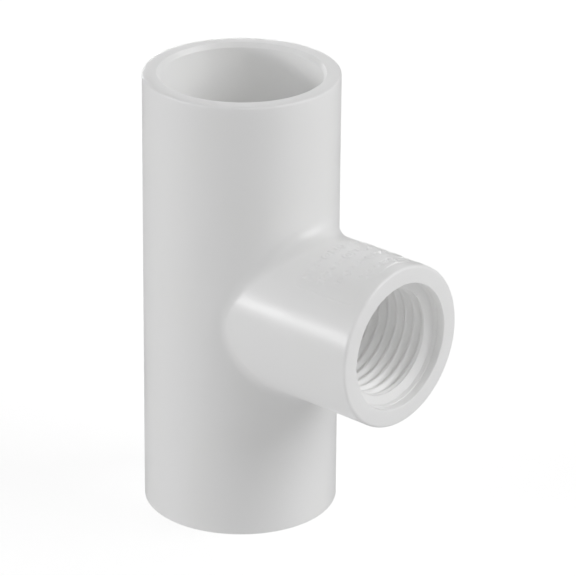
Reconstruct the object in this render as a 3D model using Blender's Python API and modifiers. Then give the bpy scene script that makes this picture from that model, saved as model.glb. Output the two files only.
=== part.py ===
"""Reducing tee for PVC pipe: a straight run with a solvent-weld socket at each end,
and a smaller side branch with a female tapered pipe thread.

Run it with: blender --background --python part.py

The fitting is one injection moulding, so it is one object. It stands on its lower
socket, with +Z up the run and +X out along the branch. The origin is under the
middle of its bounding box. Lengths are in metres.
"""

from math import cos, pi, radians, sin, sqrt

import bmesh
import bpy
from mathutils import Vector

MM = 0.001

# Run: the straight pipe way, for 3/4 inch (26.67 mm) pipe at both ends.
RUN_RADIUS = 16.4 * MM
RUN_LENGTH = 77.0 * MM
RUN_RIM_ROUND = 0.35 * MM
SOCKET_DEPTH = 25.0 * MM
SOCKET_ENTRY_RADIUS = 13.5 * MM
SOCKET_STOP_RADIUS = 13.3 * MM
LEAD_IN_RADIUS = 14.0 * MM
LEAD_IN_DEPTH = 0.8 * MM
RUN_BORE_RADIUS = 10.45 * MM

# Branch: the side outlet, with a 1/2 inch tapered female thread of 14 turns an inch.
BRANCH_RADIUS = 13.85 * MM
BRANCH_REACH = 35.5 * MM  # from the run's axis to the branch's mouth
BRANCH_RIM_ROUND = 0.5 * MM
BRANCH_HEIGHT = RUN_LENGTH / 2
BRANCH_ROOT = 4.4 * MM  # where the barrel ends inside the run, from the run's axis
FILLET_RADIUS = 3.2 * MM
COUNTERBORE_RADIUS = 10.83 * MM
COUNTERBORE_FOOT_RADIUS = 10.55 * MM
COUNTERBORE_DEPTH = 2.1 * MM
THREAD_PITCH = 25.4 * MM / 14
THREAD_MINOR_RADIUS = 9.1 * MM  # at the counterbore
THREAD_DEPTH = 1.2 * MM
THREAD_TAPER = 1 / 32  # loss of radius for each unit of depth
THREAD_START_DEPTH = 2.8 * MM  # where full bore radius begins, from the mouth
THREAD_END_DEPTH = 17.5 * MM
THREAD_ROOT_WIDTH = 0.2 * THREAD_PITCH  # across the groove's flat bottom
THREAD_MOUTH_WIDTH = 0.88 * THREAD_PITCH  # across the tooth where it is buried in the bore
BRANCH_BORE_RADIUS = 8.3 * MM

RUN_AXIS_X = -(BRANCH_REACH - RUN_RADIUS) / 2

# How finely the round shapes are faceted.
SEGMENTS = 64
ROUND_STEPS = 3
FILLET_STEPS = 7
THREAD_STEPS = 32  # for each turn
MERGE = 1e-7
SINK = 0.02 * MM  # how far one shape dips into the next, so that a union has no film between
OVERRUN = 2.0 * MM  # how far a cutter runs past the face that it opens
TOOTH_BURIED = 0.35 * MM  # how far the thread's cutter starts inside the open bore
TOOTH_TIP = 0.05  # share of the thread's depth that its faded ends keep


def clear_scene():
    for thing in list(bpy.data.objects):
        bpy.data.objects.remove(thing, do_unlink=True)


def new_collection(name):
    collection = bpy.data.collections.new(name)
    bpy.context.scene.collection.children.link(collection)
    return collection


def plastic(name, colour, roughness):
    """A moulded plastic, as a Principled BSDF."""
    material = bpy.data.materials.new(name)
    material.use_nodes = True
    shader = material.node_tree.nodes["Principled BSDF"]
    shader.inputs["Base Color"].default_value = (*colour, 1.0)
    shader.inputs["Roughness"].default_value = roughness
    shader.inputs["Metallic"].default_value = 0.0
    return material


def mesh_object(name, points, edges, faces, collection):
    mesh = bpy.data.meshes.new(name)
    mesh.from_pydata(points, edges, faces)
    thing = bpy.data.objects.new(name, mesh)
    collection.objects.link(thing)
    return thing


def make_cutter(thing):
    """Marks a shape that only joins or cuts another."""
    thing.hide_render = True
    thing.display_type = "WIRE"
    return thing


def quarter_round(centre_r, centre_z, radius, start, turn):
    """Points of a quarter circle on a turned profile, from the angle start, in radians."""
    steps = range(ROUND_STEPS + 1)
    angles = [start + turn * i / ROUND_STEPS for i in steps]
    return [(centre_r + radius * cos(a), centre_z + radius * sin(a)) for a in angles]


def turned(name, profile, collection):
    """A solid turned about Z from (radius, height) points, which run from the top down."""
    points = [(r, 0, z) for r, z in profile]
    edges = [(i, i + 1) for i in range(len(points) - 1)]
    thing = mesh_object(name, points, edges, [], collection)
    screw = thing.modifiers.new("Turn", "SCREW")
    screw.axis = "Z"
    screw.angle = 2 * pi
    screw.steps = SEGMENTS
    screw.render_steps = SEGMENTS
    screw.use_merge_vertices = True
    screw.merge_threshold = MERGE
    return thing


def lay_along_x(thing):
    """Turns a shape made about Z so that its +Z end points along +X, at the branch's height."""
    thing.location = (RUN_AXIS_X, 0, BRANCH_HEIGHT)
    thing.rotation_euler = (0, radians(90), 0)
    return thing


def boolean(thing, other, operation):
    modifier = thing.modifiers.new(f"{operation.title()} {other.name}", "BOOLEAN")
    modifier.operation = operation
    modifier.object = other
    modifier.solver = "EXACT"


def ring_faces(ring_count, around):
    """Quads between rings of points, with the first and last ring filled."""
    faces = []
    for ring in range(ring_count - 1):
        for i in range(around):
            j = (i + 1) % around
            low, high = ring * around, (ring + 1) * around
            faces.append((low + i, high + i, high + j, low + j))
    faces.append(tuple(range(around)))
    faces.append(tuple(reversed(range((ring_count - 1) * around, ring_count * around))))
    return faces


def outward(thing):
    """Makes the faces of a closed mesh point out."""
    shape = bmesh.new()
    shape.from_mesh(thing.data)
    bmesh.ops.recalc_face_normals(shape, faces=shape.faces)
    shape.to_mesh(thing.data)
    shape.free()
    return thing


def fillet_rings():
    """Rings of the fillet between the run and the branch, as a ball rolling in the corner
    leaves it. Each ring holds one point for each angle round the branch, and they go from
    the run's surface to the branch's. X runs along the branch, from the run's axis."""
    reach = RUN_RADIUS + FILLET_RADIUS
    offset = BRANCH_RADIUS + FILLET_RADIUS
    rings = [[] for _ in range(FILLET_STEPS + 1)]
    for i in range(SEGMENTS):
        angle = 2 * pi * i / SEGMENTS
        across, up = offset * sin(angle), offset * cos(angle)
        centre = Vector((sqrt(reach**2 - across**2), across, up))
        to_run = -Vector((centre.x, centre.y, 0)) / reach
        to_branch = -Vector((0, sin(angle), cos(angle)))
        for step, ring in enumerate(rings):
            towards = to_run.slerp(to_branch, step / FILLET_STEPS)
            point = centre + FILLET_RADIUS * towards
            if step == 0:
                point -= SINK * Vector((centre.x, centre.y, 0)).normalized()
            ring.append(point)
    return rings


def branch_ring(x, radius):
    angles = [2 * pi * i / SEGMENTS for i in range(SEGMENTS)]
    return [Vector((x, radius * sin(a), radius * cos(a))) for a in angles]


def branch_barrel(collection):
    """The branch's outside: a barrel with a rounded rim, which spreads into the run by the
    fillet and ends inside it."""
    rim = quarter_round(
        BRANCH_REACH - BRANCH_RIM_ROUND,
        BRANCH_RADIUS - BRANCH_RIM_ROUND,
        BRANCH_RIM_ROUND,
        pi / 2,
        -pi / 2,
    )
    rings = [branch_ring(BRANCH_ROOT, BRANCH_RADIUS)]
    rings += fillet_rings()
    rings += [branch_ring(x, radius) for x, radius in rim]
    points = [point for ring in rings for point in ring]
    barrel = mesh_object(
        "branch_barrel", points, [], ring_faces(len(rings), SEGMENTS), collection
    )
    barrel.location = (RUN_AXIS_X, 0, BRANCH_HEIGHT)
    return make_cutter(outward(barrel))


def run_bore_cutter(collection):
    """The way through the run: a lead-in, a tapered socket and a stop at each end, and the
    waterway between the stops."""
    slope = (LEAD_IN_RADIUS - SOCKET_ENTRY_RADIUS) / LEAD_IN_DEPTH
    lower = [
        (RUN_BORE_RADIUS, SOCKET_DEPTH),
        (SOCKET_STOP_RADIUS, SOCKET_DEPTH),
        (SOCKET_ENTRY_RADIUS, LEAD_IN_DEPTH),
        (LEAD_IN_RADIUS + slope * OVERRUN, -OVERRUN),
        (0, -OVERRUN),
    ]
    upper = [(r, RUN_LENGTH - z) for r, z in reversed(lower)]
    cutter = turned("run_bore_cutter", upper + lower, collection)
    cutter.location.x = RUN_AXIS_X
    return make_cutter(cutter)


def minor_radius(depth):
    """The thread's inner radius at a depth from the branch's mouth."""
    return THREAD_MINOR_RADIUS - THREAD_TAPER * (depth - THREAD_START_DEPTH)


def branch_bore_cutter(collection):
    """The way in through the branch: the counterbore, a cone down to the thread's inner
    radius, the thread's taper and the waterway into the run."""
    slope = (COUNTERBORE_RADIUS - COUNTERBORE_FOOT_RADIUS) / COUNTERBORE_DEPTH
    by_depth = [
        (0, -OVERRUN),
        (COUNTERBORE_RADIUS + slope * OVERRUN, -OVERRUN),
        (COUNTERBORE_FOOT_RADIUS, COUNTERBORE_DEPTH),
        (THREAD_MINOR_RADIUS, THREAD_START_DEPTH),
        (minor_radius(THREAD_END_DEPTH), THREAD_END_DEPTH),
        (BRANCH_BORE_RADIUS, THREAD_END_DEPTH + OVERRUN / 2),
        (BRANCH_BORE_RADIUS, BRANCH_REACH),
        (0, BRANCH_REACH),
    ]
    profile = [(r, BRANCH_REACH - depth) for r, depth in by_depth]
    return make_cutter(lay_along_x(turned("branch_bore_cutter", profile, collection)))


def thread_cutter(collection):
    """One right-hand helical tooth, which cuts the thread's groove. It fades in and out
    over half a turn at each end."""
    turns = (THREAD_END_DEPTH - THREAD_START_DEPTH) / THREAD_PITCH + 0.5
    steps = int(turns * THREAD_STEPS)
    fade = THREAD_STEPS / 2
    foot, crest = THREAD_MOUTH_WIDTH / 2, THREAD_ROOT_WIDTH / 2
    points = []
    for i in range(steps + 1):
        angle = 2 * pi * i / THREAD_STEPS
        depth = THREAD_START_DEPTH - THREAD_PITCH / 4 + THREAD_PITCH * i / THREAD_STEPS
        strength = min(1, TOOTH_TIP + i / fade, TOOTH_TIP + (steps - i) / fade)
        inner = minor_radius(depth) - TOOTH_BURIED
        outer = minor_radius(depth) + THREAD_DEPTH * strength
        section = [(inner, -foot), (outer, -crest), (outer, crest), (inner, foot)]
        for radius, along in section:
            x = BRANCH_REACH - depth + along
            points.append((x, radius * cos(angle), radius * sin(angle)))
    faces = ring_faces(steps + 1, 4)
    cutter = mesh_object("thread_cutter", points, [], faces, collection)
    cutter.location = (RUN_AXIS_X, 0, BRANCH_HEIGHT)
    return make_cutter(outward(cutter))


def tee_body(collection, cutters):
    """The moulding: the run joined to the branch, with its ways cut through it."""
    corner = pi / 2
    centre_r = RUN_RADIUS - RUN_RIM_ROUND
    top = quarter_round(centre_r, RUN_LENGTH - RUN_RIM_ROUND, RUN_RIM_ROUND, corner, -corner)
    foot = quarter_round(centre_r, RUN_RIM_ROUND, RUN_RIM_ROUND, 0, -corner)
    body = turned("tee_body", [(0, RUN_LENGTH), *top, *foot, (0, 0)], collection)
    body.location.x = RUN_AXIS_X
    boolean(body, branch_barrel(cutters), "UNION")
    boolean(body, run_bore_cutter(cutters), "DIFFERENCE")
    boolean(body, branch_bore_cutter(cutters), "DIFFERENCE")
    boolean(body, thread_cutter(cutters), "DIFFERENCE")
    body.data.materials.append(plastic("white_upvc", (0.80, 0.80, 0.79), 0.35))
    return body


def main():
    clear_scene()
    parts = new_collection("pvc_tee_fitting")
    cutters = new_collection("cutters")
    tee_body(parts, cutters)


main()
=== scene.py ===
"""The finished look of a PVC reducing tee: one injection-moulded skin with its sockets,
fillet and pipe thread, and the raised marks that its mould leaves on the branch.

Everything is in metres, +Z up the run and +X out along the branch.
"""

from math import atan2, cos, pi, radians, sin, sqrt

import bmesh
import bpy
from mathutils import Matrix, Vector


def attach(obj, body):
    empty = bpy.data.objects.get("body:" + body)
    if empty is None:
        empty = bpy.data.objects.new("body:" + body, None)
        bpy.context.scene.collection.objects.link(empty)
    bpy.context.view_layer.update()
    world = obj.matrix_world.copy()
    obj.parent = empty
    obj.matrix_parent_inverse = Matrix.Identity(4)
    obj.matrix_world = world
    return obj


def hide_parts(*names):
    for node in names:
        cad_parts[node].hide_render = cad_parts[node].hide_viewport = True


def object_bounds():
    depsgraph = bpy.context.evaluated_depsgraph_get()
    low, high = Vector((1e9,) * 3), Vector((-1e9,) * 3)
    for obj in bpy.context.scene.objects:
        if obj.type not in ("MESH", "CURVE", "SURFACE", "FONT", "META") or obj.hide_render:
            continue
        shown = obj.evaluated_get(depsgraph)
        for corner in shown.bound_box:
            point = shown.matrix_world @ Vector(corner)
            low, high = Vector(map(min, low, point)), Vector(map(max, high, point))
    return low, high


MM = 0.001

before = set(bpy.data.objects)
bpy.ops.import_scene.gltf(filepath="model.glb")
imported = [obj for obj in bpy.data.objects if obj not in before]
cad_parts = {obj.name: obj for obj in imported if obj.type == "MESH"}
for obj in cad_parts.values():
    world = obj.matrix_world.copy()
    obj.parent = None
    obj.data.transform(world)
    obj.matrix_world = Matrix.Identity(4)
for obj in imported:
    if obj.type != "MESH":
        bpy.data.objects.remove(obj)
cad_low, cad_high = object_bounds()

# The fitting's own measures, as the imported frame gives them.
RUN_RADIUS = (cad_high.y - cad_low.y) / 2
RUN_LENGTH = cad_high.z - cad_low.z
RUN_AXIS = Vector((cad_low.x + RUN_RADIUS, 0, cad_low.z))
BRANCH_REACH = cad_high.x - RUN_AXIS.x
BRANCH_AXIS = RUN_AXIS + Vector((0, 0, RUN_LENGTH / 2))
ALONG_RUN = Vector((0, 0, 1))
ALONG_BRANCH = Vector((1, 0, 0))

# Run: rim, lead-in, tapered socket, pipe stop and waterway.
RUN_RIM_ROUND = 0.35 * MM
LEAD_IN_RADIUS = 14.0 * MM
LEAD_IN_DEPTH = 0.8 * MM
SOCKET_ENTRY_RADIUS = 13.5 * MM
SOCKET_STOP_RADIUS = 13.3 * MM
SOCKET_DEPTH = 25.0 * MM
WATERWAY_RADIUS = 10.45 * MM

# Branch: barrel, rim, stepped counterbore, ledge, thread and waterway.
BRANCH_RADIUS = 13.85 * MM
BRANCH_RIM_ROUND = 0.5 * MM
FILLET_RADIUS = 3.2 * MM
COUNTERBORE_RADIUS = 10.83 * MM
COUNTERBORE_STEP_DEPTH = 1.4 * MM
COUNTERBORE_DEPTH = 2.1 * MM
COUNTERBORE_CHAMFER = 0.06 * MM
COUNTERBORE_DRAFT = 0.04 * MM  # lost from the radius by the step's depth
STEP_WIDTH = 0.1 * MM
STEP_FALL = 0.08 * MM
LEDGE_RADIUS = 10.55 * MM
THREAD_DEPTH_START = 2.8 * MM
THREAD_DEPTH_END = 17.5 * MM
THREAD_MINOR_RADIUS = 9.1 * MM
THREAD_PITCH = 25.4 * MM / 14
THREAD_HEIGHT = 0.7 * MM
THREAD_TAPER = 1 / 32
THREAD_ENTRY = 0.3 * THREAD_PITCH  # the thread grows to its full height over this
THREAD_EXIT = THREAD_PITCH  # and fades out over this
THREAD_RELIEF = 1.0 * MM  # from the thread's end to the plain bore
BRANCH_BORE_RADIUS = 8.3 * MM

# How finely the skin is divided. The windows where the branch joins are cut between the
# run's rows, so that a window's edge has as many points as the branch has sides.
RUN_SIDES = 160
BRANCH_SIDES = 192
OUTER_HOLE_STEPS = 60  # of RUN_SIDES, round the run
INNER_HOLE_STEPS = 52
OUTER_HOLE_ROWS = (BRANCH_SIDES - 2 * OUTER_HOLE_STEPS) // 2
INNER_HOLE_ROWS = (BRANCH_SIDES - 2 * INNER_HOLE_STEPS) // 2
OUTER_ROWS = 76  # up the whole of the run's outside
FLARE_ROWS = 12
ROOT_ROWS = 6
BARREL_ROWS = 31
BORE_END_ROWS = 10
THREAD_ROWS = 128
ROUND_ROWS = 5
SOCKET_ROWS = 16
SHORT_ROWS = 3  # across a face or along a short plain length
EDGE_ROWS = 2  # across a lead-in, ledge or relief
BORE_ROWS = 4
BRIDGE_CUTS = 7
OUTER_HOLE_HALF = (RUN_LENGTH - 2 * RUN_RIM_ROUND) * OUTER_HOLE_ROWS / OUTER_ROWS / 2
INNER_HOLE_HALF = 9.2 * MM
ROOT_START = RUN_RADIUS / 2  # barrel's root, before it is spread into the fillet
ROOT_END = RUN_RADIUS + FILLET_RADIUS + 1.0 * MM
BORE_END_START = WATERWAY_RADIUS + 1.0 * MM  # bore's end, before it meets the waterway
BORE_END_ROW = 0.5 * MM
SAME = 1e-6  # points closer than this are one
ON_WALL = 0.1 * MM  # a face's middle this close to a wall lies on it
CORNER_ANGLE = radians(25)  # faces that meet at more than this make a hard corner

# Raised marks on top of the branch: a hairline frame round four rows of plain figures,
# where such a fitting has its size and maker moulded in.
MARK_HEIGHT = 0.14 * MM
FRAME_HEIGHT = 0.06 * MM
FRAME_START = 20.9 * MM
FRAME_END = 33.3 * MM
FRAME_HALF_ARC = 11.0 * MM
FRAME_CORNER = 0.9 * MM
HAIRLINE = 0.16 * MM
STROKE = 0.27 * MM
STROKE_FULLNESS = 1.6  # above 1, a stroke is flat along its middle
FIGURE_SPACING = 1.85 * MM
FIGURE_ROWS = (  # distance along the branch, figure size, half the row's length
    (22.3 * MM, 1.4 * MM, 9.2 * MM),
    (25.3 * MM, 1.6 * MM, 9.2 * MM),
    (28.3 * MM, 1.4 * MM, 8.3 * MM),
    (31.5 * MM, 1.4 * MM, 5.5 * MM),
)
FIGURE_REACH = 0.7  # how far a figure can reach from its middle, in parts of its size
MARK_CUTS = 3
MARK_MARGIN = 1.2 * MM  # points this far beyond the frame are set on the barrel too
MARK_PATCH_BEFORE = 0.3 * MM  # faces this far beyond the frame are finely divided
MARK_PATCH_AFTER = 0.4 * MM
MARK_END = FRAME_END + 0.5 * MM

# The plain figures, in parts of their height.
LOZENGE_REACH = 0.5
BAR_HALF_LENGTH = 0.4
BAR_OFFSET = 0.25
SQUARE_HALF_WIDTH = 0.42
DOT_RADIUS = 0.16
RING_RADIUS = 0.45
RING_DOT_RADIUS = 0.05
FIGURE_KINDS = 5
FIGURE_STEP = 3  # kinds passed over from one figure to the next in a row
ROW_STEP = 2  # and from one row to the next

# A nick where the moulding was cut from its gate, at the counterbore's edge.
NICK_ANGLE = radians(-91)
NICK_HALF_WIDTH = 0.6 * MM
NICK_DEPTH = 0.4 * MM
NICK_WALL = 0.08 * MM  # points this near the counterbore's radius are moved

# The plastic: its colours, how it bends and scatters light, its sheen from dull to bright,
# and the sizes of its clouds, patches and ripple.
WARM_WHITE = "#F5F5F3"
BRIGHT_WHITE = "#F9F9F8"
REFRACTIVE_INDEX = 1.53
SCATTER_LENGTH = 0.6 * MM
FLOW_SIZE = 14.0 * MM
WEAR_SIZE = 6.0 * MM
WEAR_RANGE = (0.3, 0.7)
ROUGHNESS_RANGE = (0.285, 0.335)
PEEL_SIZE = 1.6 * MM
PEEL_HEIGHT = 0.0012 * MM

# Camera: a long lens, well back, about half a right angle off the branch and above it.
CAMERA_LENS = 245.1  # mm, on a 36 mm sensor
CAMERA_DISTANCE = 658.7 * MM
CAMERA_AZIMUTH = radians(42.08)
CAMERA_ELEVATION = radians(23.94)
CAMERA_ROLL = radians(0.499)
CAMERA_ASIDE = 7.892 * MM
CAMERA_ABOVE = -0.297 * MM
CAMERA_NEAR = 0.01
CAMERA_FAR = 20

# Studio: softboxes all round at one distance, over a table that is lit from below.
SOFTBOX_DISTANCE = 0.8
SOFTBOXES = (  # name, azimuth and elevation in degrees, width and height in metres, watts
    ("left_strip", -38, 10.5, 0.35, 0.1, 1.95),
    ("left_box", -38, 36, 0.8, 0.45, 1.08),
    ("right_box", 60, 34, 0.6, 0.45, 0.7),
    ("right_back_box", 122, 32, 0.6, 0.45, 3.6),
    ("left_back_strip", -120, 8, 0.6, 0.14, 2.1),
    ("left_back_box", -160, 34, 0.6, 0.45, 0.6),
)
FLOOR_RADIUS = 4.0
FLOOR_SIDES = 96
FLOOR_GLOW = 0.75
DOME_SEGMENTS = 48
DOME_RINGS = 24
BACKDROP_GLOW = 1.0
CARD_ROUGHNESS = 0.9
TABLE_GLOW_SIZE = 3.0
TABLE_GLOW_POWER = 10.9
TABLE_GLOW_DEPTH = 1.0 * MM  # under the table's top
DISPLAY_GAMMA = 1.5


# ---------------------------------------------------------------- camera and light


def direction(azimuth, elevation):
    """Unit vector from the fitting; azimuth 0 is -Y and a quarter turn is +X."""
    flat = cos(elevation)
    return Vector((sin(azimuth) * flat, -cos(azimuth) * flat, sin(elevation)))


def make_camera():
    back = direction(CAMERA_AZIMUTH, CAMERA_ELEVATION)
    level_right = Vector((cos(CAMERA_AZIMUTH), sin(CAMERA_AZIMUTH), 0))
    level_up = back.cross(level_right)
    right = level_right * cos(CAMERA_ROLL) + level_up * sin(CAMERA_ROLL)
    up = level_up * cos(CAMERA_ROLL) - level_right * sin(CAMERA_ROLL)
    aim = BRANCH_AXIS + CAMERA_ASIDE * right + CAMERA_ABOVE * up
    bpy.ops.object.camera_add(location=aim + CAMERA_DISTANCE * back)
    camera = bpy.context.object
    camera.name = "camera"
    camera.rotation_mode = "QUATERNION"
    camera.rotation_quaternion = Matrix((right, up, back)).transposed().to_quaternion()
    camera.data.lens = CAMERA_LENS
    camera.data.clip_start = CAMERA_NEAR
    camera.data.clip_end = CAMERA_FAR
    bpy.context.scene.camera = camera


def softbox(name, azimuth, elevation, width, height, power):
    """A rectangular area light that faces the place where the two axes meet."""
    away = direction(radians(azimuth), radians(elevation))
    place = BRANCH_AXIS + SOFTBOX_DISTANCE * away
    bpy.ops.object.light_add(type="AREA", location=place)
    light = bpy.context.object
    light.name = name
    light.rotation_mode = "QUATERNION"
    light.rotation_quaternion = away.to_track_quat("Z", "Y")
    light.data.shape = "RECTANGLE"
    light.data.size = width
    light.data.size_y = height
    light.data.energy = power
    light.visible_camera = False


def glowing_card(name, colour, strength):
    """Matt card or opal sheet that glows evenly."""
    material = bpy.data.materials.new(name)
    material.use_nodes = True
    shader = material.node_tree.nodes["Principled BSDF"]
    shader.inputs["Base Color"].default_value = linear(colour)
    shader.inputs["Roughness"].default_value = CARD_ROUGHNESS
    shader.inputs["Emission Color"].default_value = (1, 1, 1, 1)
    shader.inputs["Emission Strength"].default_value = strength
    material.cycles.emission_sampling = "NONE"
    return material


def hide_from_light(thing):
    """Leaves a stage piece in view, with no light or shadow of its own on the fitting."""
    thing.visible_diffuse = False
    thing.visible_glossy = False
    thing.visible_transmission = False
    thing.visible_shadow = False


def make_floor():
    """An opal table. What it looks like is one thing; the glow that comes up through it
    is a light of its own, just under it."""
    deselect_everything()
    middle = (RUN_AXIS.x, RUN_AXIS.y, cad_low.z)
    bpy.ops.mesh.primitive_circle_add(
        vertices=FLOOR_SIDES, radius=FLOOR_RADIUS, fill_type="NGON", location=middle
    )
    floor = bpy.context.object
    floor.name = "floor"
    bpy.ops.object.transform_apply()
    floor.data.materials.append(glowing_card("opal_acrylic_table", "#B0B0B0", FLOOR_GLOW))
    hide_from_light(floor)
    underneath = Vector((RUN_AXIS.x, RUN_AXIS.y, cad_low.z - TABLE_GLOW_DEPTH))
    bpy.ops.object.light_add(type="AREA", location=underneath, rotation=(pi, 0, 0))
    glow = bpy.context.object
    glow.name = "table_glow"
    glow.data.shape = "DISK"
    glow.data.size = TABLE_GLOW_SIZE
    glow.data.energy = TABLE_GLOW_POWER
    glow.visible_camera = False
    glow.visible_glossy = False


def make_backdrop():
    """A white dome behind everything."""
    deselect_everything()
    bpy.ops.mesh.primitive_uv_sphere_add(
        segments=DOME_SEGMENTS, ring_count=DOME_RINGS, radius=FLOOR_RADIUS
    )
    dome = bpy.context.object
    dome.name = "backdrop"
    dome.data.materials.append(glowing_card("white_backdrop", "#F4F4F4", BACKDROP_GLOW))
    hide_from_light(dome)


def make_studio():
    bpy.context.scene.view_settings.view_transform = "Standard"
    bpy.context.scene.view_settings.gamma = DISPLAY_GAMMA
    bpy.context.scene.world = bpy.data.worlds.new("studio")
    bpy.context.scene.world.color = (0, 0, 0)
    for name, azimuth, elevation, width, height, power in SOFTBOXES:
        softbox(name, azimuth, elevation, width, height, power)
    make_floor()
    make_backdrop()


# ---------------------------------------------------------------- materials


def linear(hex_colour):
    """An sRGB hex colour as linear red, green, blue and alpha."""
    channels = [int(hex_colour[i : i + 2], 16) / 255 for i in (1, 3, 5)]
    curve = [c / 12.92 if c <= 0.04045 else ((c + 0.055) / 1.055) ** 2.4 for c in channels]
    return (*curve, 1.0)


def add_node(tree, kind, settings=None, **links):
    """A node of this kind. Settings go to its own properties or to its inputs, and each
    link names an input and gives the output socket that feeds it."""
    node = tree.nodes.new(kind)
    for name, value in (settings or {}).items():
        if name in node.inputs:
            node.inputs[name].default_value = value
        else:
            setattr(node, name, value)
    for name, source in links.items():
        tree.links.new(source, node.inputs[name.replace("_", " ")])
    return node


def moulded_upvc():
    """Unplasticised PVC, filled white and injection moulded in a polished steel mould."""
    material = bpy.data.materials.new("injection_moulded_white_upvc")
    material.use_nodes = True
    tree = material.node_tree
    shader = tree.nodes["Principled BSDF"]
    shader.inputs["IOR"].default_value = REFRACTIVE_INDEX
    # The filled plastic lets light in a little way, which softens every shadow's edge.
    shader.inputs["Subsurface Weight"].default_value = 1.0
    shader.inputs["Subsurface Radius"].default_value = (1.0, 1.0, 1.0)
    shader.inputs["Subsurface Scale"].default_value = SCATTER_LENGTH
    place = add_node(tree, "ShaderNodeTexCoord").outputs["Object"]
    # Melt flow: broad clouds where the filler lies a shade warmer or whiter.
    flow = add_node(
        tree, "ShaderNodeTexNoise", {"Scale": 1 / FLOW_SIZE, "Detail": 1.0}, Vector=place
    )
    of_colours = {"data_type": "RGBA"}
    tint = add_node(tree, "ShaderNodeMix", of_colours, Factor=flow.outputs["Fac"])
    tint.inputs["A"].default_value = linear(WARM_WHITE)
    tint.inputs["B"].default_value = linear(BRIGHT_WHITE)
    tree.links.new(tint.outputs["Result"], shader.inputs["Base Color"])
    # Handling: patches where the moulded polish is dulled, so the sheen isn't even.
    wear = add_node(
        tree, "ShaderNodeTexNoise", {"Scale": 1 / WEAR_SIZE, "Detail": 1.0}, Vector=place
    )
    limits = {
        "From Min": WEAR_RANGE[0],
        "From Max": WEAR_RANGE[1],
        "To Min": ROUGHNESS_RANGE[0],
        "To Max": ROUGHNESS_RANGE[1],
    }
    sheen = add_node(tree, "ShaderNodeMapRange", limits, Value=wear.outputs["Fac"])
    tree.links.new(sheen.outputs["Result"], shader.inputs["Roughness"])
    # Orange peel: the faint ripple that the melt freezes with, seen where light grazes.
    peel = add_node(
        tree, "ShaderNodeTexNoise", {"Scale": 1 / PEEL_SIZE, "Detail": 1.0}, Vector=place
    )
    ripple = add_node(
        tree,
        "ShaderNodeBump",
        {"Strength": 1.0, "Distance": PEEL_HEIGHT},
        Height=peel.outputs["Fac"],
    )
    tree.links.new(ripple.outputs["Normal"], shader.inputs["Normal"])
    return material


# ---------------------------------------------------------------- modelling by rings


def deselect_everything():
    if bpy.context.mode != "OBJECT":
        bpy.ops.object.mode_set(mode="OBJECT")
    bpy.ops.object.select_all(action="DESELECT")


def edit_mesh():
    return bmesh.from_edit_mesh(bpy.context.object.data)


def select_only(shape, things):
    """Leaves just these vertices, edges or faces of the mesh in edit mode selected."""
    bpy.ops.mesh.select_all(action="DESELECT")
    for thing in things:
        thing.select_set(True)
    shape.select_flush_mode()


def from_run_axis(point):
    """Radius, angle from +X and height of a point, round the run's axis."""
    offset = point - RUN_AXIS
    return sqrt(offset.x**2 + offset.y**2), atan2(offset.y, offset.x), offset.z


def from_branch_axis(point):
    """Radius, angle from +Z towards +Y and distance of a point, along the branch."""
    offset = point - BRANCH_AXIS
    return sqrt(offset.y**2 + offset.z**2), atan2(offset.y, offset.z), offset.x


def drawn_profile(profile):
    """The (radius, distance) points of a profile, each stretch of it cut into its rows."""
    points = [profile[0][:2]]
    for radius, distance, rows in profile[1:]:
        from_radius, from_distance = points[-1]
        for row in range(1, rows + 1):
            share = row / rows
            points.append(
                (
                    from_radius + share * (radius - from_radius),
                    from_distance + share * (distance - from_distance),
                )
            )
    return points


def turned_skin(name, start, along, outward, profile, sides):
    """An open skin made as by hand: a point extruded along its profile, then spun."""
    deselect_everything()
    points = [start + r * outward + d * along for r, d in drawn_profile(profile)]
    bpy.ops.mesh.primitive_plane_add(size=MM, location=points[0])
    skin = bpy.context.object
    skin.name = name
    bpy.ops.object.transform_apply()
    bpy.ops.object.mode_set(mode="EDIT")
    bpy.ops.mesh.select_mode(type="VERT")
    bpy.ops.mesh.select_all(action="SELECT")
    bpy.ops.mesh.merge(type="CENTER")
    for here, there in zip(points, points[1:]):
        bpy.ops.mesh.extrude_region_move(TRANSFORM_OT_translate={"value": there - here})
    bpy.ops.mesh.select_all(action="SELECT")
    bpy.ops.mesh.spin(steps=sides, angle=2 * pi, center=start, axis=along)
    bpy.ops.mesh.select_all(action="SELECT")
    bpy.ops.mesh.remove_doubles(threshold=SAME)
    bpy.ops.object.mode_set(mode="OBJECT")
    return skin


def rounding(radius, distance, size, start, rows_before):
    """Profile rows of a quarter-round edge, centred at (radius, distance), with the rows
    of the stretch that leads up to it."""
    angles = [radians(start + 90 * i / ROUND_ROWS) for i in range(ROUND_ROWS + 1)]
    places = [(radius + size * cos(a), distance + size * sin(a)) for a in angles]
    return [(*places[0], rows_before), *((*place, 1) for place in places[1:])]


# ---------------------------------------------------------------- the tee's skin


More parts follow.
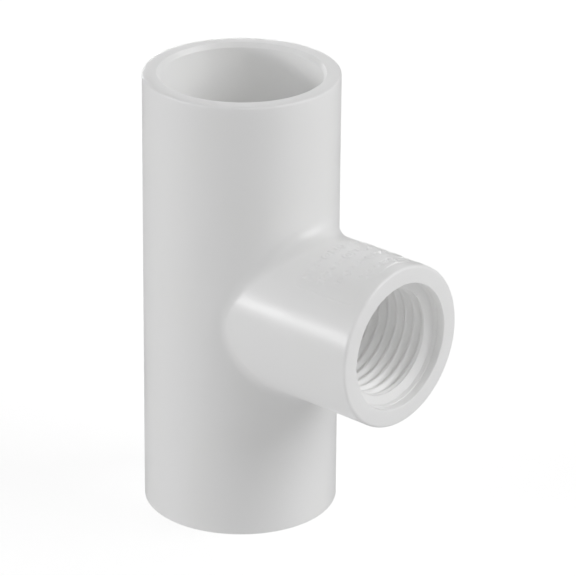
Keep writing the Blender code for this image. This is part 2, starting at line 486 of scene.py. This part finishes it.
def run_profile():
    """The run's section: up its outer side, over the rim, down the upper socket to the
    stop, down the waterway, and back up the lower socket to the start."""
    rim = RUN_RADIUS - RUN_RIM_ROUND
    top = RUN_LENGTH
    near = top / 2 - INNER_HOLE_HALF
    return [
        (RUN_RADIUS, RUN_RIM_ROUND, 1),
        *rounding(rim, top - RUN_RIM_ROUND, RUN_RIM_ROUND, 0, OUTER_ROWS),
        (LEAD_IN_RADIUS, top, EDGE_ROWS),
        (SOCKET_ENTRY_RADIUS, top - LEAD_IN_DEPTH, EDGE_ROWS),
        (SOCKET_STOP_RADIUS, top - SOCKET_DEPTH, SOCKET_ROWS),
        (WATERWAY_RADIUS, top - SOCKET_DEPTH, SHORT_ROWS),
        (WATERWAY_RADIUS, top - near, SHORT_ROWS),
        (WATERWAY_RADIUS, near, INNER_HOLE_ROWS),
        (WATERWAY_RADIUS, SOCKET_DEPTH, SHORT_ROWS),
        (SOCKET_STOP_RADIUS, SOCKET_DEPTH, SHORT_ROWS),
        (SOCKET_ENTRY_RADIUS, LEAD_IN_DEPTH, SOCKET_ROWS),
        (LEAD_IN_RADIUS, 0, EDGE_ROWS),
        *rounding(rim, RUN_RIM_ROUND, RUN_RIM_ROUND, -90, EDGE_ROWS),
    ]


def branch_profile():
    """The branch's section: out along its barrel, over the rim, in down the stepped
    counterbore and the ledge, through the thread and the bore to the waterway."""
    mouth = BRANCH_REACH
    rim = mouth - BRANCH_RIM_ROUND
    step = mouth - COUNTERBORE_STEP_DEPTH
    step_radius = COUNTERBORE_RADIUS - COUNTERBORE_DRAFT
    thread_end = mouth - THREAD_DEPTH_END
    bore_end = BORE_END_START - BORE_END_ROWS * BORE_END_ROW
    return [
        (BRANCH_RADIUS, ROOT_START, 1),
        (BRANCH_RADIUS, ROOT_END, FLARE_ROWS + ROOT_ROWS),
        *rounding(BRANCH_RADIUS - BRANCH_RIM_ROUND, rim, BRANCH_RIM_ROUND, 0, BARREL_ROWS),
        (COUNTERBORE_RADIUS + COUNTERBORE_CHAMFER, mouth, SHORT_ROWS),
        (COUNTERBORE_RADIUS, mouth - COUNTERBORE_CHAMFER, 1),
        (step_radius, step, SHORT_ROWS),
        (step_radius - STEP_WIDTH, step - STEP_FALL, 1),
        (LEDGE_RADIUS, mouth - COUNTERBORE_DEPTH, EDGE_ROWS),
        (THREAD_MINOR_RADIUS, mouth - THREAD_DEPTH_START, SHORT_ROWS),
        (thread_minor(THREAD_DEPTH_END), thread_end, THREAD_ROWS),
        (BRANCH_BORE_RADIUS, thread_end - THREAD_RELIEF, EDGE_ROWS),
        (BRANCH_BORE_RADIUS, BORE_END_START, BORE_ROWS),
        (BRANCH_BORE_RADIUS, bore_end, BORE_END_ROWS),
    ]


def thread_minor(depth):
    """The thread's inner radius at a depth from the branch's mouth."""
    return THREAD_MINOR_RADIUS - THREAD_TAPER * (depth - THREAD_DEPTH_START)


def groove(turn):
    """How deep the thread's groove is, from 0 at its crest to 1 at its root, at a place
    in the pitch from 0 to 1. Both are rounded."""
    return (1 + cos(2 * pi * turn)) / 2


def cut_thread(skin):
    """Moves the bore's wall out along a right-hand helix, which fades in and out."""
    for vertex in skin.data.vertices:
        radius, angle, distance = from_branch_axis(vertex.co)
        depth = BRANCH_REACH - distance
        inside = THREAD_DEPTH_START - SAME < depth < THREAD_DEPTH_END + SAME
        if inside and radius < LEDGE_RADIUS - SAME:
            entry = min(1, (depth - THREAD_DEPTH_START) / THREAD_ENTRY)
            leaving = min(1, (THREAD_DEPTH_END - depth) / THREAD_EXIT)
            turn = depth / THREAD_PITCH - angle / (2 * pi)
            out = THREAD_HEIGHT * groove(turn) * min(entry, leaving)
            grown = (thread_minor(depth) + out) / radius
            vertex.co.y = BRANCH_AXIS.y + (vertex.co.y - BRANCH_AXIS.y) * grown
            vertex.co.z = BRANCH_AXIS.z + (vertex.co.z - BRANCH_AXIS.z) * grown


def fillet_point(angle, share):
    """A point of the fillet at an angle round the branch, from the run's surface at share
    0 to the barrel at share 1, as a ball rolling in the corner leaves it."""
    reach, offset = RUN_RADIUS + FILLET_RADIUS, BRANCH_RADIUS + FILLET_RADIUS
    across, up = offset * sin(angle), offset * cos(angle)
    ball = Vector((sqrt(reach**2 - across**2), across, up))
    to_run = -Vector((ball.x, ball.y, 0)).normalized()
    to_barrel = -Vector((0, sin(angle), cos(angle)))
    return BRANCH_AXIS + ball + FILLET_RADIUS * to_run.slerp(to_barrel, share)


def flare_root(skin):
    """Spreads the barrel's root into the fillet, and ends the bore on the waterway."""
    rows = FLARE_ROWS + ROOT_ROWS
    for vertex in skin.data.vertices:
        radius, angle, distance = from_branch_axis(vertex.co)
        on_barrel = radius > BRANCH_RADIUS - SAME and distance < ROOT_END + SAME
        if on_barrel:
            row = round(rows * (distance - ROOT_START) / (ROOT_END - ROOT_START))
            vertex.co = fillet_point(angle, min(1, row / FLARE_ROWS))
            if row > FLARE_ROWS:
                share = (row - FLARE_ROWS) / ROOT_ROWS
                end = BRANCH_AXIS.x + ROOT_END
                vertex.co.x += share * (end - vertex.co.x)
        elif distance < BORE_END_START:
            share = (BORE_END_START - distance) / (BORE_END_ROWS * BORE_END_ROW)
            wall = sqrt(WATERWAY_RADIUS**2 - (radius * sin(angle)) ** 2)
            vertex.co.x = BRANCH_AXIS.x + BORE_END_START + share * (wall - BORE_END_START)


def stroke_height(distance, height, width):
    """How proud a moulded line stands, at a distance from its middle."""
    share = max(0, 1 - abs(distance) / width)
    return height * min(1, STROKE_FULLNESS * share)


def frame_distance(along, across):
    """Distance from the hairline frame: a rectangle with rounded corners."""
    half = (FRAME_END - FRAME_START) / 2
    past_side = abs(across) - (FRAME_HALF_ARC - FRAME_CORNER)
    past_end = abs(along - (FRAME_START + half)) - (half - FRAME_CORNER)
    if past_side > 0 and past_end > 0:
        return sqrt(past_side**2 + past_end**2) - FRAME_CORNER
    return max(past_side, past_end) - FRAME_CORNER


def figure_distance(kind, u, v):
    """Distance from a figure's line, for one a unit high with its middle at 0, 0."""
    u, v = abs(u), abs(v)
    if kind == 0:  # lozenge
        return abs(u + v - LOZENGE_REACH) * sqrt(0.5)
    if kind == 1:  # two bars
        return sqrt(max(0, u - BAR_HALF_LENGTH) ** 2 + (v - BAR_OFFSET) ** 2)
    if kind == 2:  # square
        return abs(max(u, v) - SQUARE_HALF_WIDTH)
    radius = sqrt(u**2 + v**2)
    if kind == 3:  # dot
        return max(0, radius - DOT_RADIUS)
    # Ring round a dot.
    return min(abs(radius - RING_RADIUS), max(0, radius - RING_DOT_RADIUS))


def mark_height(along, across):
    """How far the moulded marks stand proud at a place on the unrolled barrel."""
    height = stroke_height(frame_distance(along, across), FRAME_HEIGHT, HAIRLINE)
    for row, (middle, size, half_length) in enumerate(FIGURE_ROWS):
        if abs(along - middle) < FIGURE_REACH * size and abs(across) < half_length:
            figure = round(across / FIGURE_SPACING)
            u = (across - figure * FIGURE_SPACING) / size
            v = (along - middle) / size
            kind = (figure * FIGURE_STEP + row * ROW_STEP) % FIGURE_KINDS
            distance = size * figure_distance(kind, u, v)
            height = max(height, stroke_height(distance, MARK_HEIGHT, STROKE))
    return height


def raise_marks(branch):
    """Divides the top of the barrel finely and raises the moulded marks from it."""
    deselect_everything()
    bpy.context.view_layer.objects.active = branch
    bpy.ops.object.mode_set(mode="EDIT")
    bpy.ops.mesh.select_mode(type="FACE")
    shape = edit_mesh()
    patch = []
    for face in shape.faces:
        radius, angle, distance = from_branch_axis(face.calc_center_median())
        on_barrel = radius > BRANCH_RADIUS - ON_WALL
        beyond_start = distance > FRAME_START - MARK_PATCH_BEFORE
        in_length = beyond_start and distance < FRAME_END + MARK_PATCH_AFTER
        on_top = abs(angle) * BRANCH_RADIUS < FRAME_HALF_ARC + MARK_MARGIN / 2
        if on_barrel and in_length and on_top:
            patch.append(face)
    select_only(shape, patch)
    bpy.ops.mesh.subdivide(number_cuts=MARK_CUTS, ngon=True)
    bpy.ops.object.mode_set(mode="OBJECT")
    for vertex in branch.data.vertices:
        radius, angle, distance = from_branch_axis(vertex.co)
        on_barrel = radius > BRANCH_RADIUS - ON_WALL
        on_top = abs(angle) * BRANCH_RADIUS < FRAME_HALF_ARC + MARK_MARGIN
        if on_barrel and on_top and FRAME_START - MARK_MARGIN < distance < MARK_END:
            out = BRANCH_RADIUS + mark_height(distance, angle * BRANCH_RADIUS)
            vertex.co.y = BRANCH_AXIS.y + out * sin(angle)
            vertex.co.z = BRANCH_AXIS.z + out * cos(angle)


def cut_nick(branch):
    """Presses the gate's nick into the edge of the counterbore."""
    for vertex in branch.data.vertices:
        radius, angle, distance = from_branch_axis(vertex.co)
        in_wall = abs(radius - COUNTERBORE_RADIUS) < NICK_WALL
        aside = abs(angle - NICK_ANGLE) * radius
        depth = BRANCH_REACH - distance
        if in_wall and aside < NICK_HALF_WIDTH and depth < COUNTERBORE_STEP_DEPTH + SAME:
            out = (radius + NICK_DEPTH * (1 - aside / NICK_HALF_WIDTH)) / radius
            vertex.co.y = BRANCH_AXIS.y + (vertex.co.y - BRANCH_AXIS.y) * out
            vertex.co.z = BRANCH_AXIS.z + (vertex.co.z - BRANCH_AXIS.z) * out


def open_window(run, wall_radius, half_angle, half_height):
    """Deletes the faces of one wall of the run where the branch is to join it."""
    deselect_everything()
    bpy.context.view_layer.objects.active = run
    bpy.ops.object.mode_set(mode="EDIT")
    shape = edit_mesh()
    bpy.ops.mesh.select_mode(type="FACE")
    found = []
    for face in shape.faces:
        middle = face.calc_center_median()
        radius, angle, height = from_run_axis(middle)
        near = abs(radius - wall_radius) < ON_WALL and abs(angle) < half_angle
        if near and abs(height - RUN_LENGTH / 2) < half_height:
            found.append(face)
    select_only(shape, found)
    bpy.ops.mesh.delete(type="FACE")
    bpy.ops.object.mode_set(mode="OBJECT")


def bridge_window(wall_radius, is_inner):
    """Bridges a window's edge to the branch's open end, and lays the bridge on the wall."""
    shape = edit_mesh()
    bpy.ops.mesh.select_mode(type="EDGE")
    rims = []
    for edge in shape.edges:
        if edge.is_boundary:
            radius = from_run_axis(edge.verts[0].co)[0]
            if (radius < (RUN_RADIUS + WATERWAY_RADIUS) / 2) == is_inner:
                rims.append(edge)
    select_only(shape, rims)
    bpy.ops.mesh.bridge_edge_loops(number_cuts=BRIDGE_CUTS, interpolation="LINEAR")
    shape = edit_mesh()
    for vertex in shape.verts:
        if vertex.select:
            radius, angle, _ = from_run_axis(vertex.co)
            vertex.co.x = RUN_AXIS.x + wall_radius * cos(angle)
            vertex.co.y = RUN_AXIS.y + wall_radius * sin(angle)


def soften_thread_and_marks(skin):
    """Takes the hard edges off the thread and the marks, which leave the mould rounded."""
    points = skin.data.vertices
    for edge in skin.data.edges:
        middle = (points[edge.vertices[0]].co + points[edge.vertices[1]].co) / 2
        radius, _, distance = from_branch_axis(middle)
        on_marks = BRANCH_RADIUS - SAME < radius < BRANCH_RADIUS + 2 * MARK_HEIGHT
        depth = BRANCH_REACH - distance
        in_thread = radius < LEDGE_RADIUS and THREAD_DEPTH_START + SAME < depth
        if in_thread and depth < THREAD_DEPTH_END or on_marks and distance > RUN_RADIUS:
            edge.use_edge_sharp = False


def make_tee():
    """The whole moulding as one closed skin."""
    run = turned_skin(
        "tee_skin", RUN_AXIS, ALONG_RUN, ALONG_BRANCH, run_profile(), RUN_SIDES
    )
    branch = turned_skin(
        "branch_skin", BRANCH_AXIS, ALONG_BRANCH, ALONG_RUN, branch_profile(), BRANCH_SIDES
    )
    side = 2 * pi / RUN_SIDES
    open_window(run, RUN_RADIUS, side * OUTER_HOLE_STEPS / 2, OUTER_HOLE_HALF)
    open_window(run, WATERWAY_RADIUS, side * INNER_HOLE_STEPS / 2, INNER_HOLE_HALF)
    cut_thread(branch)
    cut_nick(branch)
    flare_root(branch)
    raise_marks(branch)
    deselect_everything()
    run.select_set(True)
    branch.select_set(True)
    bpy.context.view_layer.objects.active = run
    bpy.ops.object.join()
    bpy.ops.object.mode_set(mode="EDIT")
    bridge_window(RUN_RADIUS, False)
    bridge_window(WATERWAY_RADIUS, True)
    bpy.ops.mesh.select_all(action="SELECT")
    bpy.ops.mesh.normals_make_consistent(inside=False)
    bpy.ops.object.mode_set(mode="OBJECT")
    bpy.ops.object.shade_smooth_by_angle(angle=CORNER_ANGLE)
    soften_thread_and_marks(run)
    return run


def main():
    make_camera()
    make_studio()
    tee = make_tee()
    tee.data.materials.append(moulded_upvc())
    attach(tee, "root")
    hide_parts("tee_body")


main()
